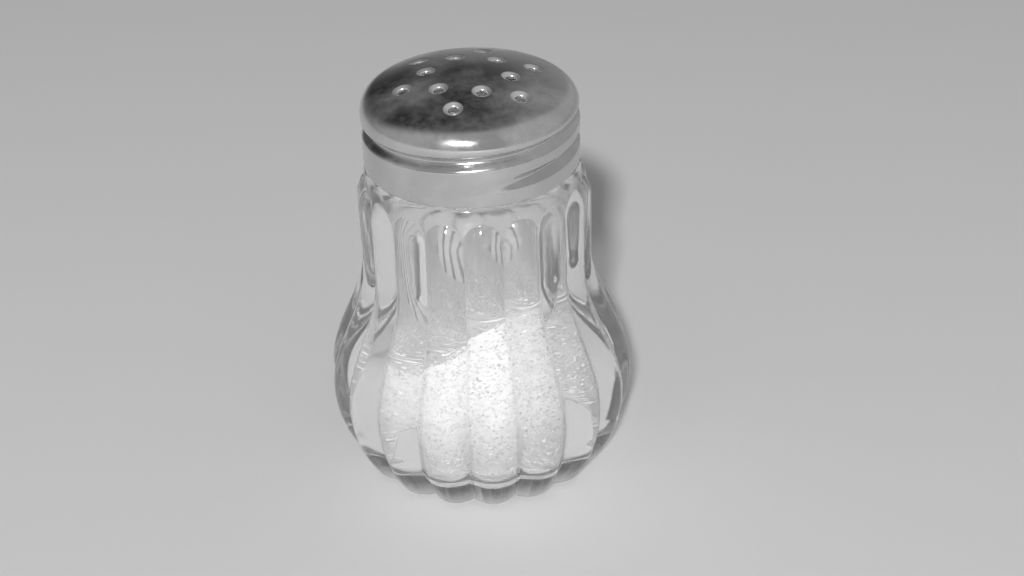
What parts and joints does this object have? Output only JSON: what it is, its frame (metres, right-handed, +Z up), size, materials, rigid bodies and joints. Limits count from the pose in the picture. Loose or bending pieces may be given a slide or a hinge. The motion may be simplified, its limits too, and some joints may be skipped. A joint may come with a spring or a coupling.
{
  "type": "salt shaker",
  "caption": "Ribbed clear glass salt shaker with a perforated metal screw cap that unscrews from the jar, part filled with salt.",
  "frame": {"origin": "centre of the flat face that the jar stands on", "axes": "+Z up along the jar's and the cap's common axis; +X is the side where the salt lies higher, and -Y is the front"},
  "size_m": [0.0578, 0.0578, 0.079],
  "materials": {
    "glass": "polished",
    "cap_metal": "polished",
    "salt": "matte"
  },
  "bodies": {
    "jar": {"glass_jar": "glass"},
    "salt": {"salt_fill": "salt"},
    "cap": {"screw_cap": "cap_metal"}
  },
  "joints": [
    {"name": "cap_turn", "type": "hinge", "parent": "jar", "child": "salt", "pos_m": [0, 0, 0.062], "axis": [0, 0, 1], "range_deg": [0, 1080]},
    {"name": "cap_rise", "type": "slide", "parent": "salt", "child": "cap", "axis": [0, 0, 1], "range_m": [0, 0.01395]}
  ],
  "couplings": [
    {"joint": "cap_rise", "follows": "cap_turn", "m_per_rad": 0.00074007}
  ]
}
